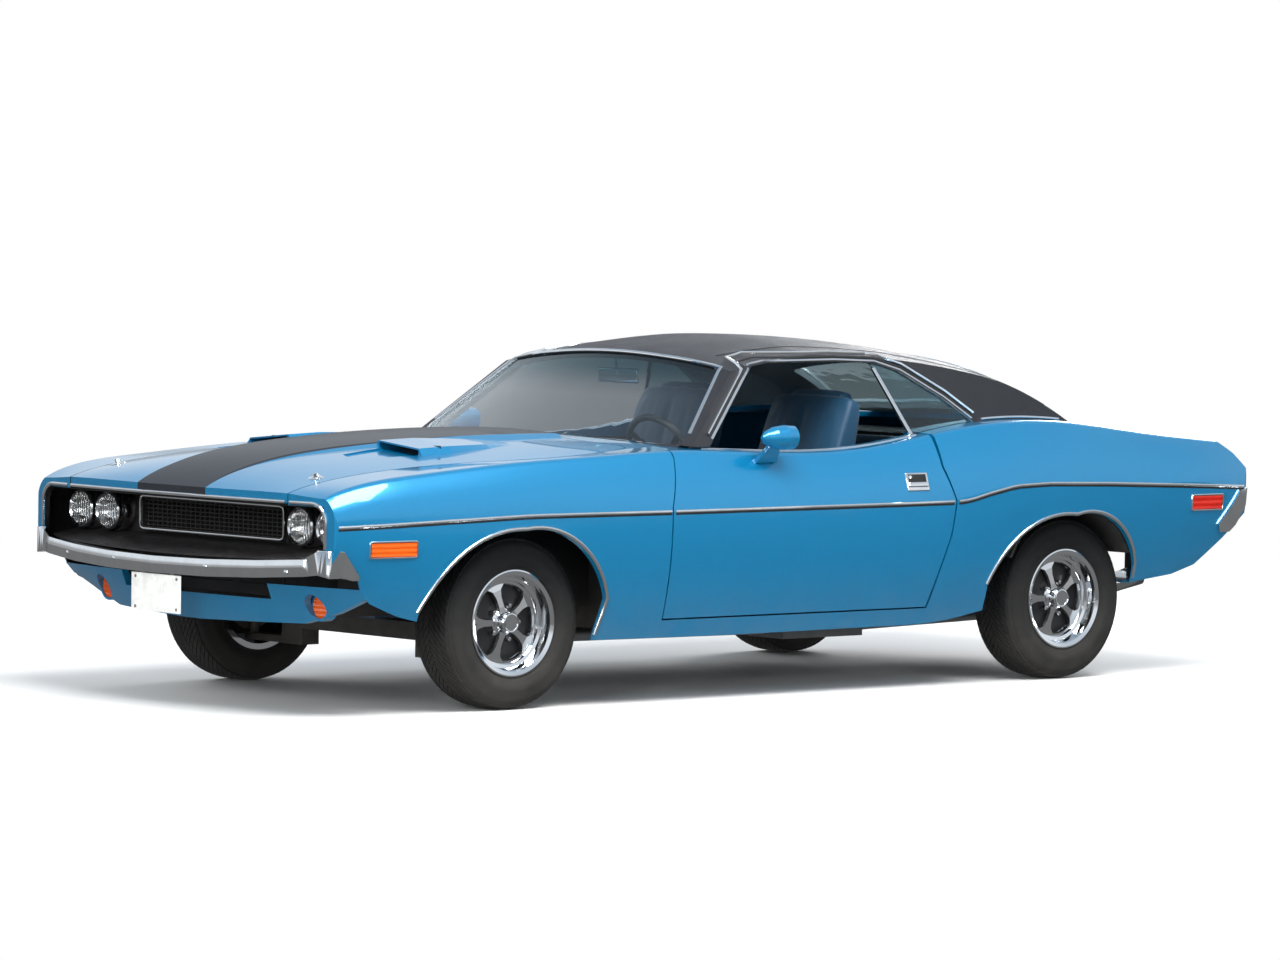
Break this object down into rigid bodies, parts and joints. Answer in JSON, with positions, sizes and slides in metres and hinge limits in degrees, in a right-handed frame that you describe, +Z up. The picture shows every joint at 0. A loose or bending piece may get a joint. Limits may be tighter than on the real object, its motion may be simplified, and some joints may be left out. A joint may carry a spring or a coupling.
{
  "type": "two-door hardtop muscle car",
  "caption": "Full-size two-door hardtop car with opening doors, hood and trunk lid, steered front wheels and free-rolling wheels.",
  "frame": {"origin": "on the ground under the middle of the overall length, on the centre line", "axes": "+X forward, +Y to the car's left, +Z up"},
  "size_m": [4.859, 1.978, 1.337],
  "materials": {
    "body_paint": "metallic blue paint",
    "dark_paint": "satin black paint",
    "under_paint": "black undercoat",
    "vinyl": "grained black vinyl",
    "chrome": "polished",
    "wheel_chrome": "polished steel",
    "steel": "plain",
    "cast_iron": "rough",
    "glass": "clear with a light tint",
    "lamp_clear": "clear ribbed lens",
    "lamp_amber": "amber lens",
    "lamp_red": "red lens",
    "tyre": "matt rubber",
    "dark_plastic": "matt black",
    "trim_plastic": "blue grained",
    "seat_vinyl": "blue vinyl"
  },
  "bodies": {
    "body": {"fender_left": "body_paint", "fender_right": "body_paint", "quarter_left": "body_paint", "quarter_right": "body_paint", "sills": "body_paint", "deck_panel": "body_paint", "cowl": "body_paint", "roof": "vinyl", "windshield": "glass", "rear_glass": "glass", "front_bumper": "chrome", "rear_bumper": "chrome", "front_valance": "body_paint", "tail_panel": "dark_paint", "grille": "dark_plastic", "headlamps": "lamp_clear", "amber_lamps": "lamp_amber", "red_lamps": "lamp_red", "floor_pan": "under_paint", "inner_fenders": "dark_paint", "engine": "cast_iron", "front_suspension": "dark_paint", "rear_axle": "cast_iron", "leaf_springs": "cast_iron", "exhaust": "steel", "fuel_tank": "steel", "dashboard": "dark_plastic", "steering_wheel": "dark_plastic", "seats": "seat_vinyl", "console": "trim_plastic"},
    "hood": {"hood": "body_paint"},
    "door_left": {"door_left": "body_paint", "mirror_left": "body_paint"},
    "door_right": {"door_right": "body_paint", "mirror_right": "body_paint"},
    "trunk": {"trunk_lid": "body_paint"},
    "knuckle_left": {"knuckle_left": "cast_iron"},
    "knuckle_right": {"knuckle_right": "cast_iron"},
    "wheel_front_left": {"wheel_front_left": "wheel_chrome", "tyre_front_left": "tyre"},
    "wheel_front_right": {"wheel_front_right": "wheel_chrome", "tyre_front_right": "tyre"},
    "wheel_rear_left": {"wheel_rear_left": "wheel_chrome", "tyre_rear_left": "tyre"},
    "wheel_rear_right": {"wheel_rear_right": "wheel_chrome", "tyre_rear_right": "tyre"}
  },
  "joints": [
    {"name": "hood_hinge", "type": "hinge", "parent": "body", "child": "hood", "pos_m": [0.7365, 0, 0.972], "axis": [0, -1, 0], "range_deg": [0, 50]},
    {"name": "trunk_hinge", "type": "hinge", "parent": "body", "child": "trunk", "pos_m": [-1.7975, 0, 0.982], "axis": [0, 1, 0], "range_deg": [0, 60]},
    {"name": "door_left_hinge", "type": "hinge", "parent": "body", "child": "door_left", "pos_m": [0.7755, 0.957, 0.6], "axis": [0, 0, -1], "range_deg": [0, 65]},
    {"name": "door_right_hinge", "type": "hinge", "parent": "body", "child": "door_right", "pos_m": [0.7755, -0.957, 0.6], "axis": [0, 0, 1], "range_deg": [0, 65]},
    {"name": "steer_left", "type": "hinge", "parent": "body", "child": "knuckle_left", "pos_m": [1.4365, 0.69, 0.316], "axis": [0, 0, 1], "range_deg": [-32, 32]},
    {"name": "steer_right", "type": "hinge", "parent": "body", "child": "knuckle_right", "pos_m": [1.4365, -0.69, 0.316], "axis": [0, 0, 1], "range_deg": [-32, 32]},
    {"name": "spin_front_left", "type": "hinge", "parent": "knuckle_left", "child": "wheel_front_left", "pos_m": [1.4365, 0.758, 0.316], "axis": [0, 1, 0], "continuous": true},
    {"name": "spin_front_right", "type": "hinge", "parent": "knuckle_right", "child": "wheel_front_right", "pos_m": [1.4365, -0.758, 0.316], "axis": [0, 1, 0], "continuous": true},
    {"name": "spin_rear_left", "type": "hinge", "parent": "body", "child": "wheel_rear_left", "pos_m": [-1.3575, 0.771, 0.316], "axis": [0, 1, 0], "continuous": true},
    {"name": "spin_rear_right", "type": "hinge", "parent": "body", "child": "wheel_rear_right", "pos_m": [-1.3575, -0.771, 0.316], "axis": [0, 1, 0], "continuous": true}
  ],
  "couplings": [
    {"joint": "steer_right", "follows": "steer_left", "ratio": 1}
  ]
}
